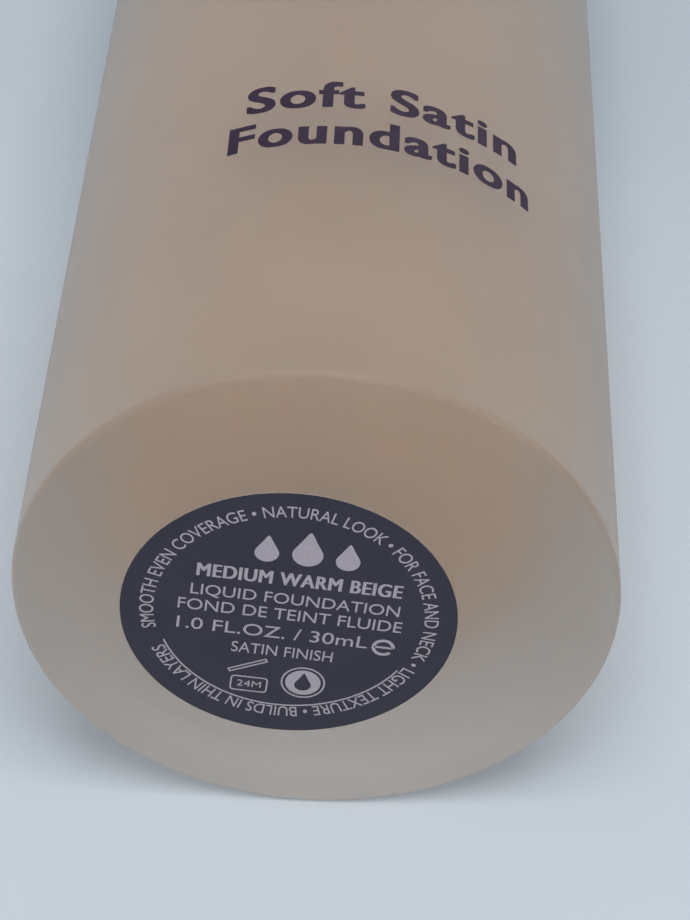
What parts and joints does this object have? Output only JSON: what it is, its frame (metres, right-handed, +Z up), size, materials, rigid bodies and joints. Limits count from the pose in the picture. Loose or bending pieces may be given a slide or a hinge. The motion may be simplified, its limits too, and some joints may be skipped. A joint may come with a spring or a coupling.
{
  "type": "foundation bottle",
  "caption": "Round frosted glass bottle for liquid foundation, with a thick base, a screw-on treatment pump and a lift-off overcap.",
  "frame": {"origin": "middle of the base, on the plane that the bottle stands on", "axes": "+Z up along the bottle's axis towards the overcap, -Y towards the front, where the print and the spout are"},
  "size_m": [0.034, 0.034, 0.1032],
  "materials": {
    "frosted_glass": "acid-etched satin outside",
    "foundation": "opaque liquid",
    "label_film": "satin printed film",
    "print_ink": "satin screen-printed ink",
    "white_plastic": "smooth moulded",
    "natural_plastic": "translucent moulded",
    "plum_plastic": "polished",
    "gasket_foam": "soft",
    "steel": "bright wire"
  },
  "bodies": {
    "bottle": {"glass_bottle": "frosted_glass", "foundation_fill": "foundation", "base_label": "label_film"},
    "pump": {"pump_housing": "natural_plastic", "dip_tube": "natural_plastic", "neck_gasket": "gasket_foam", "chaplet": "white_plastic", "return_spring": "steel"},
    "collar": {"closure": "white_plastic", "collar_sleeve": "plum_plastic"},
    "stem": {"stem": "white_plastic", "piston_seat": "white_plastic"},
    "piston": {"piston": "natural_plastic"},
    "button": {"actuator_shell": "plum_plastic", "actuator_core": "white_plastic", "nozzle_insert": "natural_plastic"},
    "ball": {"ball_valve": "steel"},
    "overcap": {"overcap_shell": "plum_plastic", "overcap_liner": "natural_plastic"}
  },
  "joints": [
    {"name": "pump_lift", "type": "slide", "parent": "bottle", "child": "pump", "axis": [0, 0, 1], "range_m": [0, 0.0048]},
    {"name": "closure_turn", "type": "hinge", "parent": "pump", "child": "collar", "pos_m": [0, 0, 0.07], "axis": [0, 0, 1], "range_deg": [0, 540]},
    {"name": "overcap_lift", "type": "slide", "parent": "collar", "child": "overcap", "axis": [0, 0, 1], "range_m": [0, 0.038]},
    {"name": "actuator_press", "type": "slide", "parent": "pump", "child": "stem", "axis": [0, 0, -1], "range_m": [0, 0.0045], "stiffness_N_per_m": 1200, "springref_m": -0.003, "deforming": ["return_spring"]},
    {"name": "actuator_turn", "type": "hinge", "parent": "stem", "child": "button", "pos_m": [0, 0, 0.09], "axis": [0, 0, 1], "continuous": true},
    {"name": "piston_slip", "type": "slide", "parent": "stem", "child": "piston", "axis": [0, 0, 1], "range_m": [0, 0.0005]},
    {"name": "ball_lift", "type": "slide", "parent": "pump", "child": "ball", "axis": [0, 0, 1], "range_m": [0, 0.0008]}
  ],
  "couplings": [
    {"joint": "pump_lift", "follows": "closure_turn", "m_per_rad": 0.00050532}
  ]
}
